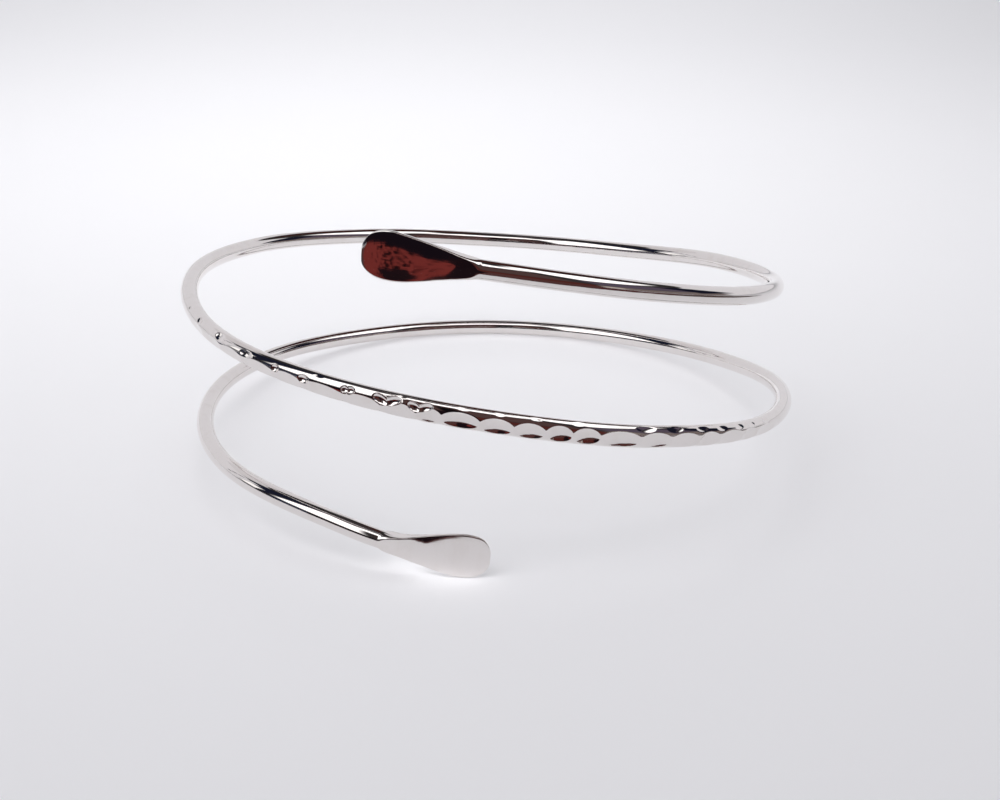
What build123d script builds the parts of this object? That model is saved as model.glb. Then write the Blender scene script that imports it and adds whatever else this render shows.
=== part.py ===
from build123d import *
from math import sin, cos, radians, sqrt
import os

# Upper arm cuff: one length of round silver wire coiled twice round the arm,
# both ends forged flat into teardrop paddles, the middle front hammered into facets.
# Millimetres. The cuff stands on the table, front towards -Y.

wire_diameter = 2.05          # round wire as drawn, before any hammering
section_step = 10.0           # degrees of turn between the sections of the plain wire
coil_middle = (0.0, -0.36)    # what the turns are counted round

# The run of the wire's centre. Turn is counted in degrees from the front,
# counter-clockwise seen from above. The coil falls as the turn grows.
path_columns = ("turn", "radius", "height")
path_table = [
    (-24, 35.20, 35.24),
    (-12, 34.87, 34.93),
    (0, 34.56, 34.07),
    (12, 34.31, 32.76),
    (30, 34.07, 30.28),
    (60, 34.04, 25.71),
    (90, 34.34, 21.47),
    (120, 34.92, 18.07),
    (150, 35.21, 15.30),
    (180, 35.60, 14.90),
    (210, 36.12, 16.58),
    (240, 36.59, 19.16),
    (270, 36.48, 21.24),
    (300, 36.35, 21.21),
    (330, 36.15, 20.55),
    (360, 35.78, 18.36),
    (390, 35.91, 14.69),
    (420, 36.20, 10.42),
    (450, 36.48, 7.12),
    (480, 36.68, 3.55),
    (510, 36.55, 1.51),
    (540, 36.33, 1.03),
    (570, 35.92, 1.53),
    (600, 35.70, 3.12),
    (630, 35.57, 4.40),
    (660, 35.85, 4.87),
    (690, 35.70, 4.52),
    (704, 35.50, 3.04),
    (722, 35.45, 2.20),
]

# How the hammered stretch spreads: full height and full thickness of the wire.
spread_columns = ("turn", "tall", "thick")
spread_table = [
    (284, wire_diameter, wire_diameter),
    (298, 2.14, 1.96),
    (318, 2.28, 1.84),
    (345, 2.52, 1.74),
    (385, 2.54, 1.74),
    (400, 2.36, 1.82),
    (418, 2.14, 1.96),
    (434, wire_diameter, wire_diameter),
]

# The paddles. Distance is measured back from the tip along the wire's centre.
paddle_columns = ("distance", "above", "below", "thick")
upper_paddle = [
    (0.05, 0.75, 0.85, 0.34),
    (0.35, 1.45, 1.46, 0.44),
    (0.90, 2.10, 1.92, 0.54),
    (1.80, 2.52, 2.30, 0.62),
    (3.00, 2.64, 2.46, 0.68),
    (4.60, 2.38, 2.40, 0.78),
    (6.40, 2.02, 2.08, 0.96),
    (8.20, 1.66, 1.66, 1.26),
    (10.00, 1.28, 1.28, 1.66),
    (11.60, 1.06, 1.06, 1.96),
    (13.00, wire_diameter / 2, wire_diameter / 2, wire_diameter),
]
lower_paddle = [
    (0.05, 0.75, 0.80, 0.34),
    (0.35, 1.42, 1.45, 0.44),
    (0.90, 2.02, 1.95, 0.54),
    (1.80, 2.32, 2.32, 0.62),
    (3.00, 2.42, 2.46, 0.68),
    (4.60, 2.24, 2.28, 0.78),
    (6.40, 1.90, 1.88, 0.96),
    (8.20, 1.48, 1.48, 1.26),
    (10.00, 1.10, 1.12, 1.66),
    (11.60, 1.00, 1.02, 1.96),
    (13.00, wire_diameter / 2, wire_diameter / 2, wire_diameter),
]
upper_tip_turn = -21.9
lower_tip_turn = 720.1
upper_lean = 6.0              # degrees the paddle faces lean up
lower_lean = 8.0

# Hammer marks. The main row faces the viewer: the turns of the ridges between marks.
ridge_turns = [
    293.9, 300.4, 307.3, 313.6, 321.5, 327.5, 335.4, 341.9, 347.9, 351.9, 358.1,
    363.6, 368.8, 373.3, 378.0, 385.4, 391.4, 397.6, 402.6, 409.3, 413.8, 421.5,
]
# Each mark is the print of a rounded hammer face. Tilt is how far it faces above the level,
# lift how far it sits up the wire, across its rounding across the wire, depth how deep it goes.
main_columns = ("turn", "tilt", "lift", "across", "depth")
main_table = [
    (294, -12.0, -0.10, 8.0, 0.17),
    (340, -13.0, -0.15, 7.0, 0.22),
    (347, -12.0, -0.10, 3.4, 0.34),
    (355, -9.0, 0.03, 2.0, 0.48),
    (361, -12.0, 0.03, 2.1, 0.48),
    (366, -13.0, 0.05, 2.2, 0.47),
    (371, -8.0, 0.05, 1.9, 0.50),
    (376, -7.0, 0.05, 1.8, 0.50),
    (382, -11.0, 0.03, 2.1, 0.46),
    (388, -11.0, 0.03, 2.1, 0.44),
    (394, -13.0, 0.05, 2.6, 0.40),
    (400, -12.0, 0.05, 3.2, 0.38),
    (408, -12.0, 0.05, 5.0, 0.30),
    (422, -12.0, 0.0, 8.0, 0.18),
]
# Single smaller marks between the main ones. A length of 0 means a round mark; roll turns a mark
# about its own face, swing turns it along the wire. Marks in pairs make a bent groove.
small_columns = ("turn", "tilt", "lift", "across", "depth", "length", "roll", "swing")
small_table = [
    (291.8, 49, 0.0, 0.9, 0.10, 0.0, 0, 0),
    (297.6, 45, 0.0, 1.4, 0.13, 0.0, 0, 12),
    (306.0, 43, 0.0, 1.4, 0.17, 1.8, 0, 9),
    (314.8, 29, 0.0, 1.3, 0.14, 2.2, 0, 0),
    (322.0, 6, 0.34, 0.55, 0.32, 1.2, 0, 0),
    (328.0, 0, 0.38, 0.6, 0.36, 1.6, 0, 0),
    (336.7, 3, 0.58, 0.48, 0.50, 1.5, 34, 0),
    (335.7, 3, 0.52, 0.48, 0.46, 1.3, -38, 0),
    (344.0, 3, 0.55, 0.62, 0.54, 2.5, 30, 0),
    (342.0, 3, 0.46, 0.60, 0.50, 2.3, -26, 0),
    (349.2, 3, 0.50, 0.55, 0.50, 2.2, 30, 0),
    (347.5, 3, 0.42, 0.55, 0.47, 2.0, -28, 0),
]
# The upper row only runs along the right-hand part.
crown_columns = ("turn", "tilt", "depth", "length")
crown_table = [
    (386.2, 50.0, 0.13, 2.8),
    (392.2, 50.0, 0.12, 2.4),
    (398.2, 50.0, 0.11, 2.0),
    (403.2, 48.0, 0.10, 1.8),
    (408.1, 48.0, 0.10, 1.6),
    (412.2, 48.0, 0.10, 1.5),
    (417.7, 48.0, 0.10, 1.5),
]
crown_across = 2.2
lower_tilt = -58.0            # one shallow mark under each ridge
lower_depth = 0.06
wide_face = 6.0
stretched_radius = 38.4       # how the front's run is curved, for the lengths of the marks


def between(table, turn, column):
    # straight between the stations, level beyond them
    if turn <= table[0][0]:
        return table[0][column]
    for low, high in zip(table[:-1], table[1:]):
        if turn <= high[0]:
            return low[column] + (high[column] - low[column]) * (turn - low[0]) / (high[0] - low[0])
    return table[-1][column]


def smooth(table, turn, column):
    # passes through the stations, with slopes taken from the neighbours
    last = len(table) - 1
    k = 0
    while k < last - 1 and turn > table[k + 1][0]:
        k += 1
    width = table[k + 1][0] - table[k][0]

    def slope(i):
        if i == 0 or i == last:
            j = 0 if i == 0 else last - 1
            return (table[j + 1][column] - table[j][column]) / (table[j + 1][0] - table[j][0])
        before = table[i][0] - table[i - 1][0]
        after = table[i + 1][0] - table[i][0]
        rise_before = (table[i][column] - table[i - 1][column]) / before
        rise_after = (table[i + 1][column] - table[i][column]) / after
        return (rise_before * after + rise_after * before) / (before + after)

    t = (turn - table[k][0]) / width
    low = table[k][column]
    high = table[k + 1][column]
    return (
        low * (2 * t**3 - 3 * t**2 + 1)
        + slope(k) * width * (t**3 - 2 * t**2 + t)
        + high * (3 * t**2 - 2 * t**3)
        + slope(k + 1) * width * (t**3 - t**2)
    )


def centre(turn):
    radius = smooth(path_table, turn, 1)
    angle = radians(turn)
    across = coil_middle[0] + radius * sin(angle)
    back = coil_middle[1] - radius * cos(angle)
    return Vector(across, back, smooth(path_table, turn, 2))


def directions(turn, lean=0.0):
    # along the wire, outward from the arm, and upward, the last two turned by the lean
    along = (centre(turn + 0.2) - centre(turn - 0.2)).normalized()
    upward = (Vector(0, 0, 1) - along * along.Z).normalized()
    outward = along.cross(upward)
    a = radians(lean)
    face = outward * cos(a) + upward * sin(a)
    rise = upward * cos(a) - outward * sin(a)
    return along, face, rise


def section(turn, tall, thick, lean=0.0, offset=0.0):
    along, face, rise = directions(turn, lean)
    plane = Plane(origin=centre(turn) + rise * offset, x_dir=rise, z_dir=along)
    return plane * Ellipse(tall / 2, thick / 2)


def filled(sections):
    body = loft(sections)
    return body if body.volume > 0 else loft(list(reversed(sections)))


def turn_at(tip_turn, distance, sense):
    # walks along the centre from the tip
    turn = tip_turn
    left = distance
    while left > 0:
        here = centre(turn)
        ahead = centre(turn + sense * 0.1)
        stride = (ahead - here).length
        if stride >= left:
            return turn + sense * 0.1 * left / stride
        left -= stride
        turn += sense * 0.1
    return turn


def paddle(table, tip_turn, sense, lean):
    sections = []
    reach = table[-1][0]
    for distance, above, below, thick in table:
        turn = turn_at(tip_turn, distance, sense)
        fade = min(1.0, (reach - distance) / 6.0)
        sections.append(section(turn, above + below, thick, lean * fade, (above - below) / 2))
    return filled(sections)


def wire(first, last, step):
    count = max(2, round((last - first) / step))
    sections = []
    for i in range(count + 1):
        turn = first + (last - first) * i / count
        sections.append(section(turn, between(spread_table, turn, 1), between(spread_table, turn, 2)))
    return filled(sections)


def hammer_face(across, along):
    # a disc with a full round edge, its flat sides across the wire
    if along <= across + 0.001:
        return Sphere(across)
    reach = along - across
    outline = Pos(reach / 2, 0) * Rectangle(reach, 2 * across) + Pos(reach, 0) * Circle(across)
    outline = outline & Pos(along, 0) * Rectangle(2 * along, 4 * across)
    return revolve(outline, Axis.Y, 360)


def hammer_mark(turn, tilt, lift, across, depth, length=0.0, roll=0.0, swing=0.0):
    # a hammer face, standing into the wire by the depth
    sideways, face, rise = directions(turn + swing, tilt)
    tall = between(spread_table, turn, 1) / 2
    thick = between(spread_table, turn, 2) / 2
    a = radians(tilt)
    surface = sqrt((thick * cos(a)) ** 2 + (tall * sin(a)) ** 2)
    along = across
    if length > 0:
        along = max(across, 1 / (8 * depth / length**2 - 1 / 36.2))
    middle = centre(turn) + face * (surface - depth + along) + rise * lift
    axis = rise * cos(radians(roll)) + face.cross(rise) * sin(radians(roll))
    return Plane(origin=middle, x_dir=face, z_dir=face.cross(axis)) * hammer_face(across, along)


def hammered(first, last):
    body = wire(first, last, 6.0)
    marks = []
    for turn in ridge_turns:
        marks.append((turn, lower_tilt, 0.0, wide_face, lower_depth, 0.0))
    for left, right in zip(ridge_turns[:-1], ridge_turns[1:]):
        turn = (left + right) / 2
        values = [between(main_table, turn, column) for column in (1, 2, 3, 4)]
        marks.append((turn, *values, radians(right - left) * stretched_radius))
    for turn, tilt, depth, length in crown_table:
        marks.append((turn, tilt, 0.0, crown_across, depth, length))
    marks += small_table
    for mark in marks:
        body -= hammer_mark(*mark)
    return body


upper_neck = turn_at(upper_tip_turn, upper_paddle[-1][0], 1)
lower_neck = turn_at(lower_tip_turn, lower_paddle[-1][0], -1)
hammer_start = 285.0
hammer_end = 433.0

pieces = [
    paddle(upper_paddle, upper_tip_turn, 1, upper_lean),
    wire(upper_neck, hammer_start, section_step),
    hammered(hammer_start, hammer_end),
    wire(hammer_end, lower_neck, section_step),
    paddle(lower_paddle, lower_tip_turn, -1, lower_lean),
]
for piece in pieces:
    print("piece volume", round(piece.volume, 2), "valid", piece.is_valid)

cuff = pieces[0].fuse(*pieces[1:])
print("solids", len(cuff.solids()), "faces", len(cuff.faces()), "valid", cuff.is_valid)
print("volume", round(cuff.volume, 1), "box", cuff.bounding_box())

os.makedirs("parts", exist_ok=True)
export_step(cuff, "parts/arm_cuff.step")
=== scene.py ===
import bpy
from math import sin, cos, radians, sqrt, pi
from mathutils import Vector, Matrix


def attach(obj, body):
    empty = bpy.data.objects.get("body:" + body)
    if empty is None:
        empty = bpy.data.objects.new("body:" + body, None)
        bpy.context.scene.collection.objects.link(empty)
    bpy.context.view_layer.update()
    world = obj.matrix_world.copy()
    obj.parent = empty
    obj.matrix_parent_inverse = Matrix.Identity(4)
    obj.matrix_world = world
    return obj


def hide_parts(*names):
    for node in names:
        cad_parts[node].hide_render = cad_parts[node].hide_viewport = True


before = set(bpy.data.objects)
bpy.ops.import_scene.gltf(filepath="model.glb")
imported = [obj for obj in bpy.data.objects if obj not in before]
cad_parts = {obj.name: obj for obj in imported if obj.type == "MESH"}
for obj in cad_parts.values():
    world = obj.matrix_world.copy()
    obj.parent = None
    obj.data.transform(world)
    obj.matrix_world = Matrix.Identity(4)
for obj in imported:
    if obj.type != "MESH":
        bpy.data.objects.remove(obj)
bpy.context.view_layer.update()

print("frame loaded")

mm = 0.001

# The coil's path, in millimetres.
coil = {
    "middle": (0.0, -0.36),      # what the turns are counted round
    "upperTip": -21.9,           # turns in degrees from the front, counter-clockwise from above
    "lowerTip": 720.1,
    "upperLean": 6.0,
    "lowerLean": 8.0,
    "plainStep": 1.2,            # ring spacing along plain wire
    "hammeredStep": 0.1,
    "paddleStep": 0.2,
    "sides": 64,
    "gather": 0.45,              # how much closer the sides stand on the outside of the coil
    "crown": 0.3,                # how much thinner a paddle is at its edges
    "flatness": 120.0,           # how square a paddle's edges are, 0 is a plain oval
    "squareFrom": 12.0,          # how far from the tip the edges start to turn square,
    "squareOver": 5.0,           # over what length,
    "squareLate": 1.5,           # and how late in it
    "paddleReach": 13.0,         # where the paddles end and round wire begins
    "leanFade": 6.0,             # the length over which a paddle's lean comes in
    "waveSize": 420.0,           # how close together the forging waves are
    "waveDepth": 0.012,
}
tipRings = [                     # ring distances at the rounded tips
    0.0, 0.004, 0.012, 0.025, 0.05, 0.09, 0.14, 0.2, 0.27,
    0.35, 0.45, 0.56, 0.68, 0.8, 0.95, 1.1, 1.25, 1.4,
]

pathTable = [                    # turn, radius, height
    (-24, 35.20, 35.24), (-12, 34.87, 34.93), (0, 34.56, 34.07), (12, 34.31, 32.76),
    (30, 34.07, 30.28), (60, 34.04, 25.71), (90, 34.34, 21.47), (120, 34.92, 18.07),
    (150, 35.21, 15.30), (180, 35.60, 14.90), (210, 36.12, 16.58), (240, 36.59, 19.16),
    (270, 36.48, 21.24), (300, 36.35, 21.21), (330, 36.15, 20.55), (360, 35.78, 18.36),
    (390, 35.91, 14.69), (420, 36.20, 10.42), (450, 36.48, 7.12), (480, 36.68, 3.55),
    (510, 36.55, 1.51), (540, 36.33, 1.03), (570, 35.92, 1.53), (600, 35.70, 3.12),
    (630, 35.57, 4.40), (660, 35.85, 4.87), (690, 35.70, 4.52), (704, 35.50, 3.04),
    (722, 35.45, 2.20),
]

spreadTable = [                  # turn, tall, thick
    (284, 2.05, 2.05), (298, 2.14, 1.96), (318, 2.28, 1.84), (345, 2.52, 1.74),
    (385, 2.54, 1.74), (400, 2.36, 1.82), (418, 2.14, 1.96), (434, 2.05, 2.05),
]

upperPaddle = [                  # distance from the tip, above, below, thick
    (0.05, 0.75, 0.85, 0.34), (0.35, 1.45, 1.46, 0.44), (0.90, 2.10, 1.92, 0.54),
    (1.80, 2.52, 2.30, 0.62), (3.00, 2.64, 2.46, 0.68), (4.60, 2.38, 2.40, 0.78),
    (6.40, 2.02, 2.08, 0.96), (8.20, 1.66, 1.66, 1.26), (10.00, 1.28, 1.28, 1.66),
    (11.60, 1.06, 1.06, 1.96), (13.00, 1.025, 1.025, 2.05),
]
lowerPaddle = [
    (0.05, 0.75, 0.80, 0.34), (0.35, 1.42, 1.45, 0.44), (0.90, 2.02, 1.95, 0.54),
    (1.80, 2.32, 2.32, 0.62), (3.00, 2.42, 2.46, 0.68), (4.60, 2.24, 2.28, 0.78),
    (6.40, 1.90, 1.88, 0.96), (8.20, 1.48, 1.48, 1.26), (10.00, 1.10, 1.12, 1.66),
    (11.60, 1.00, 1.02, 1.96), (13.00, 1.025, 1.025, 2.05),
]

hammer = {
    "start": 287.0, "end": 431.0,        # turns between which the wire is worked
    "coilRadius": 36.2,
    "stretch": 1.06,                     # how far a mark reaches past its ridges
    "rounds": 2,                         # how often the whole set of marks is struck
}
ridgeTurns = [
    293.9, 300.4, 307.3, 313.6, 321.5, 327.5, 335.4, 341.9, 347.9, 351.9, 358.1,
    363.6, 368.8, 373.3, 378.0, 385.4, 391.4, 397.6, 402.6, 409.3, 413.8, 421.5,
]
mainTable = [                            # turn, tilt, lift, radius across the wire, depth
    (294, -12.0, -0.10, 8.0, 0.17), (340, -13.0, -0.15, 7.0, 0.22), (347, -12.0, -0.10, 3.4, 0.34),
    (355, -9.0, 0.03, 2.0, 0.48), (361, -12.0, 0.03, 2.1, 0.48), (366, -13.0, 0.05, 2.2, 0.47),
    (371, -8.0, 0.05, 1.9, 0.50), (376, -7.0, 0.05, 1.8, 0.50), (382, -11.0, 0.03, 2.1, 0.46),
    (388, -11.0, 0.03, 2.1, 0.44), (394, -13.0, 0.05, 2.6, 0.40), (400, -12.0, 0.05, 3.2, 0.38),
    (408, -12.0, 0.05, 5.0, 0.30), (422, -12.0, 0.0, 8.0, 0.18),
]
smallMarks = [                           # turn, tilt, lift, radius across, depth, length, roll, swing
    (291.8, 49, 0.0, 0.9, 0.10, 0.0, 0, 0), (297.6, 45, 0.0, 1.4, 0.13, 0.0, 0, 12),
    (306.0, 43, 0.0, 1.4, 0.17, 1.8, 0, 9), (314.8, 29, 0.0, 1.3, 0.14, 2.2, 0, 0),
    (322.0, 6, 0.34, 0.55, 0.32, 1.2, 0, 0), (328.0, 0, 0.38, 0.6, 0.36, 1.6, 0, 0),
    (336.7, 3, 0.58, 0.48, 0.50, 1.5, 34, 0), (335.7, 3, 0.52, 0.48, 0.46, 1.3, -38, 0),
    (344.0, 3, 0.55, 0.62, 0.54, 2.5, 30, 0), (342.0, 3, 0.46, 0.60, 0.50, 2.3, -26, 0),
    (349.2, 3, 0.50, 0.55, 0.50, 2.2, 30, 0), (347.5, 3, 0.42, 0.55, 0.47, 2.0, -28, 0),
    (361.0, 50, 0.0, 6.0, 0.04, 0.0, 0, 0), (355.2, 54, 0.0, 7.0, 0.04, 0.0, 0, 0),
    (367.0, 52, 0.0, 7.0, 0.04, 0.0, 0, 0), (330.5, 54, 0.0, 7.0, 0.04, 0.0, 0, 0),
    (345.0, 54, 0.0, 8.0, 0.04, 0.0, 0, 0), (374.0, 54, 0.0, 6.0, 0.05, 0.0, 0, 0),
]
lowerMarks = {"tilt": -58.0, "ball": 6.0, "depth": 0.06}
crownTable = [                           # turn, tilt, depth, length
    (386.2, 50.0, 0.13, 2.8), (392.2, 50.0, 0.12, 2.4), (398.2, 50.0, 0.11, 2.0),
    (403.2, 48.0, 0.10, 1.8), (408.1, 48.0, 0.10, 1.6), (412.2, 48.0, 0.10, 1.5),
    (417.7, 48.0, 0.10, 1.5),
]
crownRadius = 2.2


def between(table, x, column):
    # straight lines between the rows of a table
    if x <= table[0][0]:
        return table[0][column]
    for low, high in zip(table[:-1], table[1:]):
        if x <= high[0]:
            return low[column] + (high[column] - low[column]) * (x - low[0]) / (high[0] - low[0])
    return table[-1][column]


def smooth(table, x, column):
    # a smooth curve through the rows of a table
    last = len(table) - 1
    k = 0
    while k < last - 1 and x > table[k + 1][0]:
        k += 1
    width = table[k + 1][0] - table[k][0]

    def slope(i):
        if i == 0 or i == last:
            j = 0 if i == 0 else last - 1
            return (table[j + 1][column] - table[j][column]) / (table[j + 1][0] - table[j][0])
        before = table[i][0] - table[i - 1][0]
        after = table[i + 1][0] - table[i][0]
        riseBefore = (table[i][column] - table[i - 1][column]) / before
        riseAfter = (table[i + 1][column] - table[i][column]) / after
        return (riseBefore * after + riseAfter * before) / (before + after)

    t = (x - table[k][0]) / width
    return (table[k][column] * (2 * t**3 - 3 * t**2 + 1) + slope(k) * width * (t**3 - 2 * t**2 + t)
            + table[k + 1][column] * (3 * t**2 - 2 * t**3) + slope(k + 1) * width * (t**3 - t**2))


def centreAt(turn):
    radius = smooth(pathTable, turn, 1)
    a = radians(turn)
    return Vector((coil["middle"][0] + radius * sin(a), coil["middle"][1] - radius * cos(a),
                   smooth(pathTable, turn, 2)))


def faceAt(turn, lean):
    # the way out of the wire, square to its run, leaning up by some degrees
    along = (centreAt(turn + 0.2) - centreAt(turn - 0.2)).normalized()
    upward = (Vector((0, 0, 1)) - along * along.z).normalized()
    a = radians(lean)
    return along.cross(upward) * cos(a) + upward * sin(a)


def paddleAt(table, distance):
    # the paddle's rounded tip closes in the last twentieth of a millimetre
    first = table[0]
    if distance < first[0]:
        t = max(distance, 0.0) / first[0]
        close = sqrt(max(0.0, 1 - (1 - t) ** 2)) * 0.97 + 0.03
        return first[1] * close, first[2] * close, first[3] * close
    root = [(sqrt(row[0]),) + row[1:] for row in table]
    return tuple(smooth(root, sqrt(distance), column) for column in (1, 2, 3))


def pathStations():
    # one row for each ring of the skin, closest together where the shape changes fastest
    fine = []
    turn = coil["upperTip"]
    run = 0.0
    while turn < coil["lowerTip"]:
        fine.append((turn, run))
        step = min(0.1, coil["lowerTip"] - turn)
        run += (centreAt(turn + step) - centreAt(turn)).length
        turn += step if step > 1e-6 else 1.0
    total = run
    turns = [row[0] for row in fine]
    runs = [row[1] for row in fine]

    def turnOf(distance):
        low, high = 0, len(runs) - 1
        while high - low > 1:
            mid = (low + high) // 2
            if runs[mid] <= distance:
                low = mid
            else:
                high = mid
        part = (distance - runs[low]) / max(runs[high] - runs[low], 1e-9)
        return turns[low] + (turns[high] - turns[low]) * part

    places = list(tipRings)
    place = tipRings[-1]
    while place < total - tipRings[-1] - 0.05:
        turn = turnOf(place)
        fromEnd = min(place, total - place)
        if fromEnd < coil["paddleReach"] + 0.5:
            place += coil["paddleStep"]
        elif hammer["start"] < turn < hammer["end"]:
            place += coil["hammeredStep"]
        else:
            place += coil["plainStep"]
        places.append(min(place, total - tipRings[-1]))
    places += [total - distance for distance in reversed(tipRings[:-1])]

    stations = []
    for place in places:
        turn = turnOf(place)
        fromEnd = min(place, total - place)
        upper = place < total / 2
        row = {"turn": turn, "run": place, "lean": 0.0, "offset": 0.0, "flat": 0.0}
        row["worked"] = 1.0 if hammer["start"] < turn < hammer["end"] else 0.0
        if fromEnd < coil["paddleReach"]:
            above, below, thick = paddleAt(upperPaddle if upper else lowerPaddle, fromEnd)
            fade = min(1.0, (coil["paddleReach"] - fromEnd) / coil["leanFade"])
            row["lean"] = (coil["upperLean"] if upper else coil["lowerLean"]) * fade
            row["offset"] = (above - below) / 2
            row["tall"], row["thick"] = above + below, thick
            square = (coil["squareFrom"] - fromEnd) / coil["squareOver"]
            row["flat"] = min(1.0, max(0.0, square)) ** coil["squareLate"]
        else:
            row["tall"] = between(spreadTable, turn, 1)
            row["thick"] = between(spreadTable, turn, 2)
        stations.append(row)
    return stations


def hammerMarks():
    # every hollow that the hammer leaves: the middle of its face, the radius across the wire,
    # how much larger the radius along the wire is, and the direction across the wire
    marks = []

    def press(turn, tilt, lift, across, depth, length=0.0, roll=0.0, swing=0.0):
        tall = between(spreadTable, turn, 1) / 2
        thick = between(spreadTable, turn, 2) / 2
        a = radians(tilt)
        surface = sqrt((thick * cos(a)) ** 2 + (tall * sin(a)) ** 2)
        along = across
        if length > 0:
            along = max(across, 1 / (8 * depth / length**2 - 1 / hammer["coilRadius"]))
        face, rise = faceAt(turn + swing, tilt), faceAt(turn + swing, tilt + 90)
        axis = rise * cos(radians(roll)) + face.cross(rise) * sin(radians(roll))
        middle = centreAt(turn) + face * (surface - depth + along) + rise * lift
        marks.append((middle, across, along - across, axis))

    for turn in ridgeTurns:
        press(turn, lowerMarks["tilt"], 0.0, lowerMarks["ball"], lowerMarks["depth"])
    for left, right in zip(ridgeTurns[:-1], ridgeTurns[1:]):
        turn = (left + right) / 2
        length = radians(right - left) * hammer["coilRadius"] * hammer["stretch"]
        press(turn, *(between(mainTable, turn, column) for column in (1, 2, 3, 4)), length)
    for turn, tilt, depth, length in crownTable:
        press(turn, tilt, 0.0, crownRadius, depth, length)
    for mark in smallMarks:
        press(*mark)
    return marks


class Tree:
    # a node tree, with short ways to add nodes and join them
    def __init__(self, tree):
        self.tree = tree
        self.column = 0

    def node(self, kind, **settings):
        made = self.tree.nodes.new(kind)
        self.column += 1
        made.location = (180 * self.column, -160 * (self.column % 5))
        for key, value in settings.items():
            setattr(made, key, value)
        return made

    def plug(self, socket, value):
        if isinstance(value, bpy.types.NodeSocket):
            self.tree.links.new(value, socket)
        elif value is not None:
            socket.default_value = value

    def math(self, operation, a, b=None, c=None):
        made = self.node("ShaderNodeMath", operation=operation)
        for socket, value in zip(made.inputs, (a, b, c)):
            self.plug(socket, value)
        return made.outputs[0]

    def vector(self, operation, a, b=None, scale=None):
        made = self.node("ShaderNodeVectorMath", operation=operation)
        self.plug(made.inputs[0], a)
        self.plug(made.inputs[1], b)
        if operation == "SCALE":
            self.plug(made.inputs[3], scale)
        return made.outputs["Value" if operation in ("LENGTH", "DOT_PRODUCT") else "Vector"]

    def combine(self, x, y, z):
        made = self.node("ShaderNodeCombineXYZ")
        for socket, value in zip(made.inputs, (x, y, z)):
            self.plug(socket, value)
        return made.outputs[0]

    def named(self, name, kind="FLOAT"):
        made = self.node("GeometryNodeInputNamedAttribute", data_type=kind)
        made.inputs["Name"].default_value = name
        return made.outputs["Attribute"]


def pathMesh(stations, marks):
    # a chain of points down the middle of the wire, and loose points at the hammer's centres
    mesh = bpy.data.meshes.new("cuffPath")
    points = [centreAt(row["turn"]) * mm for row in stations] + [mark[0] * mm for mark in marks]
    mesh.from_pydata([tuple(p) for p in points], [(i, i + 1) for i in range(len(stations) - 1)], [])
    for key in ("run", "lean", "offset", "flat", "tall", "thick", "worked"):
        scale = mm if key in ("run", "offset", "tall", "thick") else 1.0
        layer = mesh.attributes.new(key, "FLOAT", "POINT")
        for i, row in enumerate(stations):
            layer.data[i].value = row[key] * scale
    for name, kind in (("ball", "FLOAT"), ("more", "FLOAT"), ("across", "FLOAT_VECTOR")):
        mesh.attributes.new(name, kind, "POINT")
    for i, mark in enumerate(marks):
        mesh.attributes["ball"].data[len(stations) + i].value = mark[1] * mm
        mesh.attributes["more"].data[len(stations) + i].value = mark[2] * mm
        mesh.attributes["across"].data[len(stations) + i].vector = mark[3]
    return mesh


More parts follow.
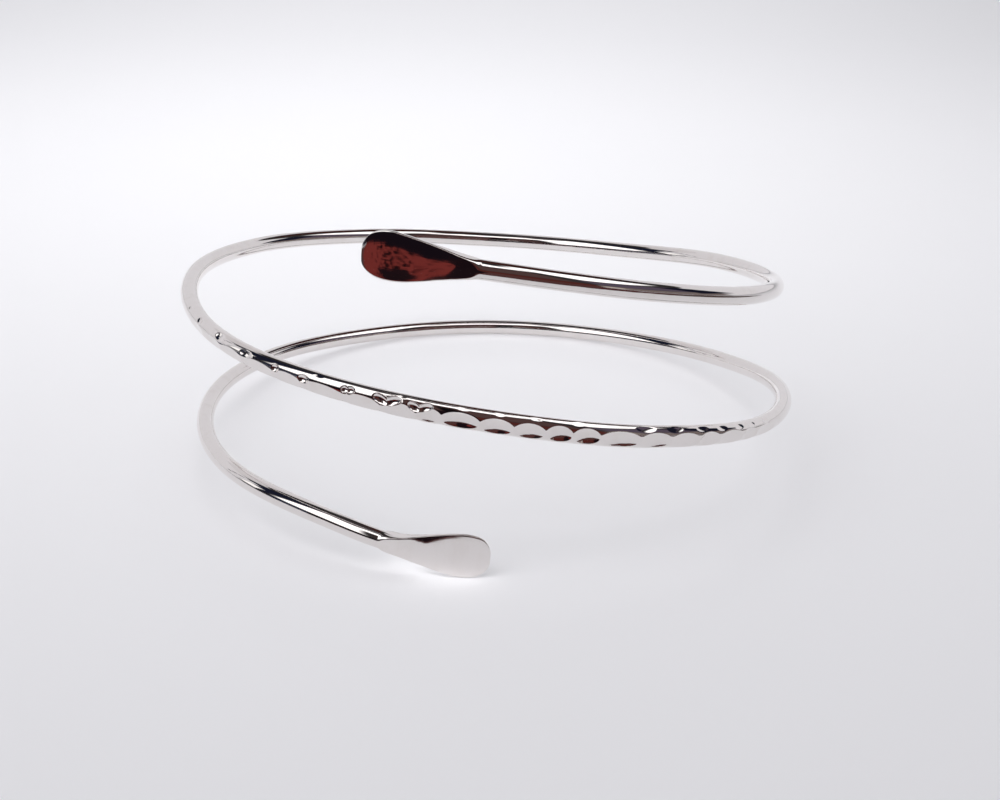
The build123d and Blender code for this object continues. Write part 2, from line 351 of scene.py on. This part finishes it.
def wireTree():
    # skins the path with rings, forges the paddles and strikes the hammer marks
    tree = bpy.data.node_groups.new("forgedWire", "GeometryNodeTree")
    face = tree.interface
    face.new_socket(name="Path", in_out="INPUT", socket_type="NodeSocketGeometry")
    sockets = {}
    for name, kind in (
        ("Sides", "Int"), ("Hammer Blows", "Int"), ("Front Gather", "Float"), ("Flatness", "Float"),
        ("Crown", "Float"), ("Forging Waves", "Float"), ("Metal", "Material"),
    ):
        sockets[name] = face.new_socket(name=name, in_out="INPUT", socket_type="NodeSocket" + kind)
    face.new_socket(name="Cuff", in_out="OUTPUT", socket_type="NodeSocketGeometry")

    t = Tree(tree)
    start = t.node("NodeGroupInput")
    split = t.node("GeometryNodeSeparateGeometry", domain="POINT")
    t.plug(split.inputs["Geometry"], start.outputs["Path"])
    t.plug(split.inputs["Selection"], t.math("GREATER_THAN", t.named("ball"), 0.0))
    marks, chain = split.outputs["Selection"], split.outputs["Inverted"]

    curve = t.node("GeometryNodeMeshToCurve")
    t.plug(curve.inputs["Mesh"], chain)
    keep = t.node("GeometryNodeCaptureAttribute", domain="POINT")
    keep.capture_items.new("VECTOR", "centre")
    keep.capture_items.new("VECTOR", "tangent")
    t.plug(keep.inputs["Geometry"], curve.outputs[0])
    t.plug(keep.inputs["centre"], t.node("GeometryNodeInputPosition").outputs[0])
    t.plug(keep.inputs["tangent"], t.node("GeometryNodeInputTangent").outputs[0])

    ring = t.node("GeometryNodeCurvePrimitiveCircle")
    t.plug(ring.inputs["Resolution"], start.outputs["Sides"])
    ring.inputs["Radius"].default_value = 0.001
    rim = t.node("GeometryNodeCaptureAttribute", domain="POINT")
    rim.capture_items.new("FLOAT", "around")
    t.plug(rim.inputs["Geometry"], ring.outputs["Curve"])
    index = t.node("GeometryNodeInputIndex").outputs[0]
    turned = t.math("MULTIPLY", t.math("DIVIDE", index, start.outputs["Sides"]), 2 * pi)
    shift = t.math("MULTIPLY", t.math("COSINE", turned), start.outputs["Front Gather"])
    t.plug(rim.inputs["around"], t.math("ADD", turned, shift))

    skin = t.node("GeometryNodeCurveToMesh")
    t.plug(skin.inputs["Curve"], keep.outputs["Geometry"])
    t.plug(skin.inputs["Profile Curve"], rim.outputs["Geometry"])
    skin.inputs["Fill Caps"].default_value = True

    along = t.vector("NORMALIZE", keep.outputs["tangent"])
    part = t.node("ShaderNodeSeparateXYZ")
    t.plug(part.inputs[0], along)
    climb = t.vector("SCALE", along, scale=part.outputs[2])
    upward = t.vector("NORMALIZE", t.vector("SUBTRACT", (0, 0, 1), climb))
    outward = t.vector("CROSS_PRODUCT", along, upward)
    lean = t.math("RADIANS", t.named("lean"))
    faceDir = t.vector("ADD", t.vector("SCALE", outward, scale=t.math("COSINE", lean)),
                       t.vector("SCALE", upward, scale=t.math("SINE", lean)))
    riseDir = t.vector("SUBTRACT", t.vector("SCALE", upward, scale=t.math("COSINE", lean)),
                       t.vector("SCALE", outward, scale=t.math("SINE", lean)))
    c = t.math("COSINE", rim.outputs["around"])
    s = t.math("SINE", rim.outputs["around"])
    rise = t.math("ADD", t.math("MULTIPLY", t.math("MULTIPLY", t.named("tall"), 0.5), c), t.named("offset"))
    flat = t.named("flat")
    power = t.math("ADD", 2.0, t.math("MULTIPLY", flat, start.outputs["Flatness"]))
    rest = t.math("SUBTRACT", 1.0, t.math("POWER", t.math("ABSOLUTE", c), power))
    bulge = t.math("SQRT", t.math("MAXIMUM", rest, 0.0))
    thinning = t.math("MULTIPLY", t.math("MULTIPLY", c, c), t.math("MULTIPLY", flat, start.outputs["Crown"]))
    bulge = t.math("MULTIPLY", bulge, t.math("SUBTRACT", 1.0, thinning))
    half = t.math("MULTIPLY", t.named("thick"), 0.5)
    out = t.math("MULTIPLY", half, t.math("MULTIPLY", bulge, t.math("SIGN", s)))
    waves = t.node("ShaderNodeTexNoise", noise_dimensions="3D")
    waves.inputs["Scale"].default_value = coil["waveSize"]
    waves.inputs["Detail"].default_value = 1.5
    away = t.vector("ADD", t.vector("SCALE", riseDir, scale=rise), t.vector("SCALE", faceDir, scale=out))
    place = t.vector("ADD", keep.outputs["centre"], away)
    t.plug(waves.inputs["Vector"], place)
    wave = t.math("SUBTRACT", waves.outputs[0], 0.5)
    wave = t.math("MULTIPLY", t.math("MULTIPLY", wave, start.outputs["Forging Waves"]), flat)
    place = t.vector("ADD", place, t.vector("SCALE", faceDir, scale=wave))
    oval = t.node("GeometryNodeSetPosition")
    t.plug(oval.inputs["Geometry"], skin.outputs[0])
    t.plug(oval.inputs["Position"], place)

    # millimetres along the wire and the place round it, for the metal's fine marks
    space = t.node("GeometryNodeStoreNamedAttribute", data_type="FLOAT_VECTOR", domain="POINT")
    space.inputs["Name"].default_value = "wireSpace"
    t.plug(space.inputs["Geometry"], oval.outputs[0])
    t.plug(space.inputs["Value"], t.combine(t.math("MULTIPLY", t.named("run"), 1 / mm), c, s))

    # each blow pushes what stands inside the hammer's rounded face out to that face
    again = t.node("GeometryNodeRepeatInput")
    done = t.node("GeometryNodeRepeatOutput")
    again.pair_with_output(done)
    t.plug(again.inputs["Iterations"], start.outputs["Hammer Blows"])
    t.plug(again.inputs["Geometry"], space.outputs[0])
    size = t.node("GeometryNodeAttributeDomainSize", component="MESH")
    t.plug(size.inputs[0], marks)
    blow = t.math("MODULO", again.outputs["Iteration"], size.outputs["Point Count"])
    here = t.node("GeometryNodeInputPosition").outputs[0]

    def sampled(value, kind):
        made = t.node("GeometryNodeSampleIndex", data_type=kind, domain="POINT")
        t.plug(made.inputs["Geometry"], marks)
        t.plug(made.inputs["Index"], blow)
        t.plug(made.inputs["Value"], value)
        return made.outputs[0]

    centre = sampled(here, "FLOAT_VECTOR")
    ball = sampled(t.named("ball"), "FLOAT")
    more = sampled(t.named("more"), "FLOAT")
    across = sampled(t.named("across", "FLOAT_VECTOR"), "FLOAT_VECTOR")
    arrow = t.vector("SUBTRACT", here, centre)
    sideways = t.vector("SCALE", across, scale=t.vector("DOT_PRODUCT", arrow, across))
    level = t.vector("NORMALIZE", t.vector("SUBTRACT", arrow, sideways))
    tube = t.vector("ADD", centre, t.vector("SCALE", level, scale=more))
    arrow = t.vector("SUBTRACT", here, tube)
    inside = t.math("MULTIPLY", t.math("LESS_THAN", t.vector("LENGTH", arrow), ball),
                    t.math("GREATER_THAN", t.named("worked"), 0.5))
    moved = t.vector("ADD", tube, t.vector("SCALE", t.vector("NORMALIZE", arrow), scale=ball))
    push = t.node("GeometryNodeSetPosition")
    t.plug(push.inputs["Geometry"], again.outputs["Geometry"])
    t.plug(push.inputs["Selection"], inside)
    t.plug(push.inputs["Position"], moved)
    t.plug(done.inputs["Geometry"], push.outputs[0])

    smoothNode = t.node("GeometryNodeSetShadeSmooth")
    t.plug(smoothNode.inputs[0], done.outputs["Geometry"])
    real = t.node("GeometryNodeRealizeInstances")
    t.plug(real.inputs[0], smoothNode.outputs[0])
    metal = t.node("GeometryNodeSetMaterial")
    t.plug(metal.inputs["Geometry"], real.outputs[0])
    t.plug(metal.inputs["Material"], start.outputs["Metal"])
    end = t.node("NodeGroupOutput")
    t.plug(end.inputs[0], metal.outputs[0])
    return tree, sockets


silver = {
    "colour": (0.80, 0.765, 0.75, 1.0),
    "dull": (0.70, 0.65, 0.62, 1.0),
    "dulling": (0.5, 0.85, 0.0, 0.55),           # from where to where the clouds dull it, and how much
    "roughness": (0.3, 0.8, 0.0315, 0.0855),     # the same, for how rough the clouds make it
    "lineStrength": 0.05,
    "lineDepth": 0.04,
}


def handlingGroup():
    # fine handling marks and draw lines of worn polished metal, in the wire's own space
    group = bpy.data.node_groups.new("handlingMarks", "ShaderNodeTree")
    face = group.interface
    for name, value in (("Run Scale", 0.12), ("Across Scale", 9.0), ("Seed", 0.0)):
        face.new_socket(name=name, in_out="INPUT", socket_type="NodeSocketFloat").default_value = value
    face.new_socket(name="Space", in_out="INPUT", socket_type="NodeSocketVector")
    face.new_socket(name="Lines", in_out="OUTPUT", socket_type="NodeSocketFloat")
    face.new_socket(name="Clouds", in_out="OUTPUT", socket_type="NodeSocketFloat")
    t = Tree(group)
    start = t.node("NodeGroupInput")
    part = t.node("ShaderNodeSeparateXYZ")
    t.plug(part.inputs[0], start.outputs["Space"])
    drawn = t.combine(t.math("MULTIPLY", part.outputs[0], start.outputs["Run Scale"]),
                      t.math("MULTIPLY", part.outputs[1], start.outputs["Across Scale"]),
                      t.math("MULTIPLY", part.outputs[2], start.outputs["Across Scale"]))
    lines = t.node("ShaderNodeTexNoise", noise_dimensions="4D")
    lines.inputs["Scale"].default_value = 1.0
    lines.inputs["Detail"].default_value = 3.0
    t.plug(lines.inputs["Vector"], drawn)
    t.plug(lines.inputs["W"], start.outputs["Seed"])
    clouds = t.node("ShaderNodeTexNoise", noise_dimensions="4D")
    clouds.inputs["Scale"].default_value = 0.55
    clouds.inputs["Detail"].default_value = 4.0
    clouds.inputs["Roughness"].default_value = 0.6
    t.plug(clouds.inputs["Vector"], start.outputs["Space"])
    t.plug(clouds.inputs["W"], start.outputs["Seed"])
    end = t.node("NodeGroupOutput")
    t.plug(end.inputs["Lines"], lines.outputs[0])
    t.plug(end.inputs["Clouds"], clouds.outputs[0])
    return group


def ranged(t, value, limits):
    # brings a value from the first pair of limits to the second
    ramp = t.node("ShaderNodeMapRange")
    for name, amount in zip(("From Min", "From Max", "To Min", "To Max"), limits):
        ramp.inputs[name].default_value = amount
    t.plug(ramp.inputs["Value"], value)
    return ramp.outputs[0]


def blended(t, factor, first, second):
    # one colour going over into another
    blend = t.node("ShaderNodeMix", data_type="RGBA")
    colours = [socket for socket in blend.inputs if socket.type == "RGBA"]
    colours[0].default_value, colours[1].default_value = first, second
    t.plug(blend.inputs[0], factor)
    return [socket for socket in blend.outputs if socket.type == "RGBA"][0]


def silverMaterial():
    material = bpy.data.materials.new("polishedSilver")
    material.use_nodes = True
    t = Tree(material.node_tree)
    shader = material.node_tree.nodes["Principled BSDF"]
    shader.inputs["Metallic"].default_value = 1.0
    space = t.node("ShaderNodeAttribute", attribute_name="wireSpace", attribute_type="GEOMETRY")
    marks = t.node("ShaderNodeGroup")
    marks.node_tree = handlingGroup()
    t.plug(marks.inputs["Space"], space.outputs["Vector"])
    clouds = marks.outputs["Clouds"]
    colour = blended(t, ranged(t, clouds, silver["dulling"]), silver["colour"], silver["dull"])
    t.plug(shader.inputs["Base Color"], colour)
    t.plug(shader.inputs["Roughness"], ranged(t, clouds, silver["roughness"]))
    bump = t.node("ShaderNodeBump")
    bump.inputs["Strength"].default_value = silver["lineStrength"]
    bump.inputs["Distance"].default_value = silver["lineDepth"] * mm
    t.plug(bump.inputs["Height"], marks.outputs["Lines"])
    t.plug(shader.inputs["Normal"], bump.outputs[0])
    return material


def buildCuff(material):
    stations = pathStations()
    marks = hammerMarks()
    path = bpy.data.objects.new("cuffPath", pathMesh(stations, marks))
    bpy.context.collection.objects.link(path)
    tree, inputs = wireTree()
    modifier = path.modifiers.new("forgedWire", "NODES")
    modifier.node_group = tree
    settings = {
        "Sides": coil["sides"],
        "Hammer Blows": len(marks) * hammer["rounds"],
        "Front Gather": coil["gather"],
        "Flatness": coil["flatness"],
        "Crown": coil["crown"],
        "Forging Waves": coil["waveDepth"] * mm,
        "Metal": material,
    }
    for name, value in settings.items():
        modifier[inputs[name].identifier] = value
    graph = bpy.context.evaluated_depsgraph_get()
    skinned = path.evaluated_get(graph)
    mesh = bpy.data.meshes.new_from_object(skinned, preserve_all_data_layers=True, depsgraph=graph)
    mesh.name = "cuffSkin"
    bpy.data.objects.remove(path)
    piece = bpy.data.objects.new("upperArmCuff", mesh)
    bpy.context.collection.objects.link(piece)
    return piece, len(stations)


def cubicMillimetres(mesh):
    # the triangles' share of the volume, seen from the origin; call calc_loop_triangles() first
    total = 0.0
    for triangle in mesh.loop_triangles:
        a, b, c = (mesh.vertices[i].co for i in triangle.vertices)
        total += a.dot(b.cross(c)) / 6
    return round(total / mm**3, 1)


cuff, ringCount = buildCuff(silverMaterial())
cuff.data.calc_loop_triangles()
print("cuff skinned:", ringCount, "rings,", len(cuff.data.loop_triangles), "triangles")
print("volume in cubic millimetres:", cubicMillimetres(cuff.data))
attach(cuff, "root")
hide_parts("arm_cuff")

paddleSpot = (-0.0105, -0.0335, 0.0352)     # where the upper paddle looks out from
studio = {
    "floorColour": (0.86, 0.86, 0.885, 1.0),
    "floorSide": 3.0,            # half the table's width
    "world": 0.37,               # the light all round, as the table sees it
    "room": 0.03,                # and as the metal sees it
    "reach": 1.2,                # how far off the cards hang
    "red": (0.18, 0.030, 0.026),
    "black": (0.012, 0.006, 0.008),
    "blotch": {"colour": (0.006, 0.003, 0.004), "scale": 26.0, "line": -0.66, "gather": 0.5,
               "limits": (0.48, 0.54)},
}


def cardMaterial(name, colour, strength, soft, blotch=None):
    # a glowing card that fades out over the soft share of its edges
    material = bpy.data.materials.new(name)
    material.use_nodes = True
    material.node_tree.nodes.clear()
    t = Tree(material.node_tree)
    glow = t.node("ShaderNodeEmission")
    glow.inputs["Color"].default_value = (*colour, 1.0)
    glow.inputs["Strength"].default_value = strength
    end = t.node("ShaderNodeOutputMaterial")
    part = t.node("ShaderNodeSeparateXYZ")
    t.plug(part.inputs[0], t.node("ShaderNodeUVMap").outputs[0])
    u, v = part.outputs[0], part.outputs[1]
    if blotch:
        # dark blotches, thickest round one upright line of the card
        noise = t.node("ShaderNodeTexNoise", noise_dimensions="3D")
        noise.inputs["Scale"].default_value = blotch["scale"]
        noise.inputs["Detail"].default_value = 5.0
        t.plug(noise.inputs["Vector"], t.combine(u, v, 0.0))
        away = t.math("ABSOLUTE", t.math("SUBTRACT", u, blotch["line"]))
        value = t.math("ADD", noise.outputs[0], t.math("MULTIPLY", away, blotch["gather"]))
        clear = ranged(t, value, blotch["limits"] + (0.0, 1.0))
        t.plug(glow.inputs["Color"], blended(t, clear, (*blotch["colour"], 1.0), (*colour, 1.0)))
    if soft > 0:
        acrossEdge = t.math("MINIMUM", u, t.math("SUBTRACT", 1.0, u))
        tallEdge = t.math("MINIMUM", v, t.math("SUBTRACT", 1.0, v))
        ramp = t.node("ShaderNodeMapRange", interpolation_type="SMOOTHSTEP")
        ramp.inputs["From Max"].default_value = soft
        t.plug(ramp.inputs["Value"], t.math("MINIMUM", acrossEdge, tallEdge))
        mix = t.node("ShaderNodeMixShader")
        t.plug(mix.inputs[0], ramp.outputs[0])
        t.plug(mix.inputs[1], t.node("ShaderNodeBsdfTransparent").outputs[0])
        t.plug(mix.inputs[2], glow.outputs[0])
        t.plug(end.inputs[0], mix.outputs[0])
    else:
        t.plug(end.inputs[0], glow.outputs[0])
    return material


def hang(name, mesh, material, lights=False):
    # a card is seen by the metal alone, and by the table only where it lights it
    mesh.materials.append(material)
    made = bpy.data.objects.new(name, mesh)
    bpy.context.collection.objects.link(made)
    made.visible_camera = made.visible_shadow = False
    made.visible_transmission = made.visible_volume_scatter = False
    made.visible_diffuse = lights


def sheetMesh(name, columns, rows, pointAt):
    # a grid of points; pointAt gives the place and the pattern's place for two shares from 0 to 1
    points, faces, uvs = [], [], []
    for j in range(rows + 1):
        for i in range(columns + 1):
            place, uv = pointAt(i / columns, j / rows)
            points.append(place)
            uvs.append(uv)
    for j in range(rows):
        for i in range(columns):
            k = j * (columns + 1) + i
            faces.append((k, k + 1, k + columns + 2, k + columns + 1))
    mesh = bpy.data.meshes.new(name)
    mesh.from_pydata(points, [], faces)
    layer = mesh.uv_layers.new(name="UVMap")
    for loop in mesh.loops:
        layer.data[loop.index].uv = uvs[loop.vertex_index]
    return mesh


def card(name, azimuths, elevations, colour, strength=1.0, soft=0.12, lights=False,
         reach=studio["reach"], middle=(0.0, 0.0, 0.02)):
    # a curved studio card round a middle; azimuth 0 is towards the camera, positive to its right
    def pointAt(u, v):
        a = radians(azimuths[0] + (azimuths[1] - azimuths[0]) * u)
        e = radians(elevations[0] + (elevations[1] - elevations[0]) * v)
        out = Vector((sin(a) * cos(e), -cos(a) * cos(e), sin(e)))
        return Vector(middle) + out * reach, (u, v)

    hang(name, sheetMesh(name, 14, 10, pointAt), cardMaterial(name, colour, strength, soft), lights)


def apron(name, corners, colour, blotch=None, height=0.001):
    # a flat card lying past the edge of the white table; its pattern shrinks with distance,
    # so that its picture in the upper paddle is even
    nearLeft, nearRight, farRight, farLeft = (Vector(corner) for corner in corners)

    def pointAt(u, v):
        place = nearLeft.lerp(farLeft, v**3).lerp(nearRight.lerp(farRight, v**3), u)
        away = max(0.01, paddleSpot[1] - place.y)
        return (place.x, place.y, height), ((place.x - paddleSpot[0]) / away, paddleSpot[2] / away)

    hang(name, sheetMesh(name, 24, 40, pointAt), cardMaterial(name, colour, 1.0, 0.0, blotch))


def buildFloor():
    material = bpy.data.materials.new("paleTable")
    material.use_nodes = True
    shader = material.node_tree.nodes["Principled BSDF"]
    shader.inputs["Roughness"].default_value = 0.9
    shader.inputs["Specular IOR Level"].default_value = 0.0
    shader.inputs["Base Color"].default_value = studio["floorColour"]
    mesh = bpy.data.meshes.new("paleTable")
    side = studio["floorSide"]
    corners = [(-side, -side, 0), (side, -side, 0), (side, side, 0), (-side, side, 0)]
    mesh.from_pydata(corners, [], [(0, 1, 2, 3)])
    mesh.materials.append(material)
    floor = bpy.data.objects.new("paleTable", mesh)
    bpy.context.collection.objects.link(floor)


buildFloor()

# The lights' own cards and the pale backdrop.
card("softboxLeft", (-85, -30), (15, 72), (1.0, 0.99, 1.0), 1.75, lights=True)
card("softboxTop", (-50, 60), (58, 78), (1.0, 0.97, 0.98), 1.75, lights=True)
card("softboxRight", (55, 120), (38, 75), (1.0, 0.99, 1.0), 1.75)
card("backdropGlow", (104, 262), (-2, 33), (0.78, 0.77, 0.80), soft=0.03)

# What lies past the table's edge: corners near left, near right, far right, far left.
apron("frontApron", [(-0.6, -0.085), (0.6, -0.085), (0.6, -0.9), (-0.6, -0.9)], (0.090, 0.040, 0.038))
apron("leftApron", [(-0.9, 0.02), (-0.10, 0.02), (-0.10, -0.085), (-0.9, -0.085)], (0.045, 0.05, 0.075))
apron("rightApron", [(0.12, 0.05), (0.9, 0.05), (0.9, -0.085), (0.12, -0.085)], (0.10, 0.075, 0.07))
apron("redApron", [(-0.118, -0.103), (-0.036, -0.103), (-0.26, -0.9), (-0.9, -0.68)], studio["red"],
      height=0.002, blotch=studio["blotch"])
apron("blackApron", [(-0.037, -0.103), (-0.006, -0.103), (0.04, -0.9), (-0.26, -0.9)], studio["black"],
      height=0.002)
apron("farApron", [(-0.225, -0.537), (-0.055, -0.19), (0.0, -0.9), (-0.42, -0.9)], studio["black"],
      height=0.003)
apron("nearPatch", [(-0.102, -0.142), (-0.062, -0.108), (-0.045, -0.113), (-0.080, -0.162)],
      studio["black"], height=0.004)

# What the metal sees above the table, from the front round to the back.
card("darkFrontLeft", (-62, -8), (-3.5, 14), (0.008, 0.005, 0.008), soft=0.03, reach=0.9)
card("darkFront", (-9, 47), (-3, 14), (0.090, 0.022, 0.018), soft=0.04, reach=0.9)
card("darkFrontHigh", (-30, 46), (13, 56), (0.085, 0.050, 0.048), reach=0.9)
card("cameraShade", (-17, 3), (-13, 13), (0.010, 0.005, 0.007), soft=0.05, reach=0.156, middle=paddleSpot)
card("darkColumn", (-10, 1), (-3, 52), (0.004, 0.003, 0.004), soft=0.2, reach=0.8)
card("rightLow", (45, 112), (-2, 16), (0.20, 0.165, 0.16))
card("rightGleam", (46, 58), (1, 11), (0.62, 0.55, 0.50), soft=0.3, reach=1.1)
card("rightMiddle", (46, 112), (15, 37), (0.10, 0.08, 0.11))
card("rightNavy", (92, 116), (8, 36), (0.008, 0.009, 0.02), reach=1.1)
card("leftLow", (-84, -58), (-2, 13), (0.035, 0.04, 0.065))
card("leftGleam", (-101, -90), (5, 25), (1.0, 1.0, 1.0), 1.2, reach=1.15)
card("backLeftNavy", (-116, -84), (8, 76), (0.010, 0.012, 0.026), soft=0.05)
card("backLeftPale", (-186, -115), (30, 47), (0.70, 0.68, 0.70), soft=0.1, reach=1.22)
card("backRightBrown", (135, 175), (35, 72), (0.05, 0.018, 0.016))
card("backGrey", (-195, -84), (70, 84), (0.07, 0.06, 0.065), reach=1.1)


def lamp(name, place, size, watts):
    # a plain soft light straight down on the table; its picture in the metal comes from the cards
    data = bpy.data.lights.new(name, "AREA")
    data.shape = "RECTANGLE"
    data.size, data.size_y = size
    data.energy = watts
    data.use_shadow = data.cycles.cast_shadow = False
    made = bpy.data.objects.new(name, data)
    made.location = place
    made.visible_glossy = made.visible_camera = False
    bpy.context.collection.objects.link(made)


lamp("poolLamp", (-0.03, 0.13, 0.25), (0.12, 0.12), 0.36)
lamp("farLamp", (-0.02, 0.45, 0.26), (0.4, 0.1), 0.30)
# The patch of light that the lower paddle throws on the table.
lamp("neckGlint", (-0.0095, -0.0335, 0.0025), (0.006, 0.0008), 0.00005)
lamp("paddleGlint", (-0.0040, -0.0365, 0.0025), (0.007, 0.0008), 0.00004)

world = bpy.data.worlds.new("studioAir")
bpy.context.scene.world = world
world.use_nodes = True
air = Tree(world.node_tree)
pale = world.node_tree.nodes["Background"]
pale.inputs["Color"].default_value = (0.97, 0.97, 1.0, 1.0)
pale.inputs["Strength"].default_value = studio["world"]
room = air.node("ShaderNodeBackground")                  # the room as the metal sees it
room.inputs["Color"].default_value = (1.0, 0.9, 0.92, 1.0)
room.inputs["Strength"].default_value = studio["room"]
either = air.node("ShaderNodeMixShader")
air.plug(either.inputs[0], air.node("ShaderNodeLightPath").outputs["Is Glossy Ray"])
air.plug(either.inputs[1], pale.outputs[0])
air.plug(either.inputs[2], room.outputs[0])
air.plug(world.node_tree.nodes["World Output"].inputs[0], either.outputs[0])
print("studio set")

# The camera's place in millimetres; its angles in degrees.
view = {
    "place": (-0.695, -177.397, 82.895),
    "turned": -0.6176,
    "above": 23.7403,            # how steeply it looks down on the table
    "roll": 0.8705,
    "lens": 54.8312,
    "sensor": 36.0,
}
lens = bpy.data.cameras.new("camera")
lens.lens = view["lens"]
lens.sensor_width = view["sensor"]
lens.sensor_fit = "HORIZONTAL"
lens.clip_start = 0.01
camera = bpy.data.objects.new("camera", lens)
turning = (
    Matrix.Rotation(radians(view["turned"]), 4, "Z")
    @ Matrix.Rotation(radians(90 - view["above"]), 4, "X")
    @ Matrix.Rotation(radians(view["roll"]), 4, "Z")
)
camera.matrix_world = Matrix.Translation(Vector(view["place"]) * mm) @ turning
bpy.context.collection.objects.link(camera)
bpy.context.scene.camera = camera
bpy.context.scene.view_settings.view_transform = "Standard"

print("ready")
